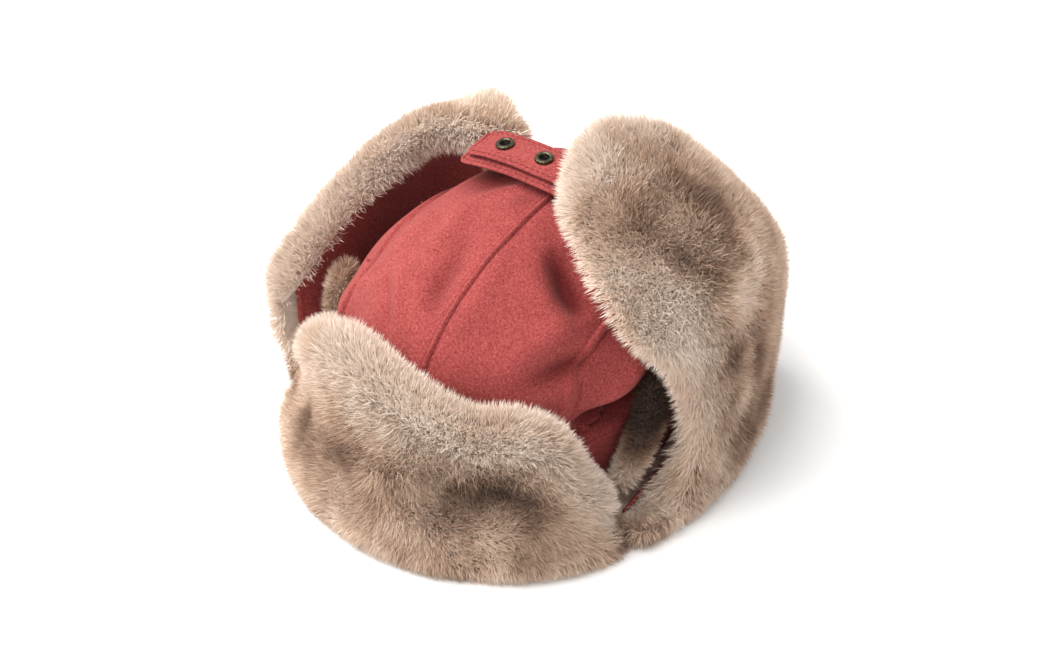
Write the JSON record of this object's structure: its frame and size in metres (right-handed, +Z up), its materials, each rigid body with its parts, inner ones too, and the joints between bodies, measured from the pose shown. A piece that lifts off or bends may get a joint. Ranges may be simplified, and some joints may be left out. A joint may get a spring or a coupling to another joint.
{
  "type": "winter hat",
  "caption": "Trapper style winter hat with a sewn wool crown and thick fur ear, front and neck flaps turned up, with a snap tab over the top.",
  "frame": {"origin": "on the surface the hat stands on, under the middle of its bounding box", "axes": "+Z up through the crown, -Y towards the front flap, +X towards the wearer's left"},
  "size_m": [0.2874, 0.3042, 0.1984],
  "materials": {
    "red_wool": "brushed wool melton",
    "brown_fur": "deep mottled faux fur",
    "antique_brass": "aged satin",
    "dark_metal": "dark satin"
  },
  "bodies": {
    "root": {"crown_side_right": "red_wool", "crown_top_right": "red_wool", "crown_top_left": "red_wool", "crown_side_left": "red_wool", "crown_band": "red_wool", "snap_tab_upper": "red_wool", "snap_tab_lower": "red_wool", "front_flap": "red_wool", "ear_flap_left": "red_wool", "ear_flap_right": "red_wool", "neck_flap": "red_wool", "front_flap_fur": "brown_fur", "ear_flap_left_fur": "brown_fur", "ear_flap_right_fur": "brown_fur", "neck_flap_fur": "brown_fur", "temple_fur_left": "brown_fur", "temple_fur_right": "brown_fur", "snap_ring_1": "antique_brass", "snap_ring_2": "antique_brass", "snap_stud_1": "dark_metal", "snap_stud_2": "dark_metal"}
  },
  "joints": []
}
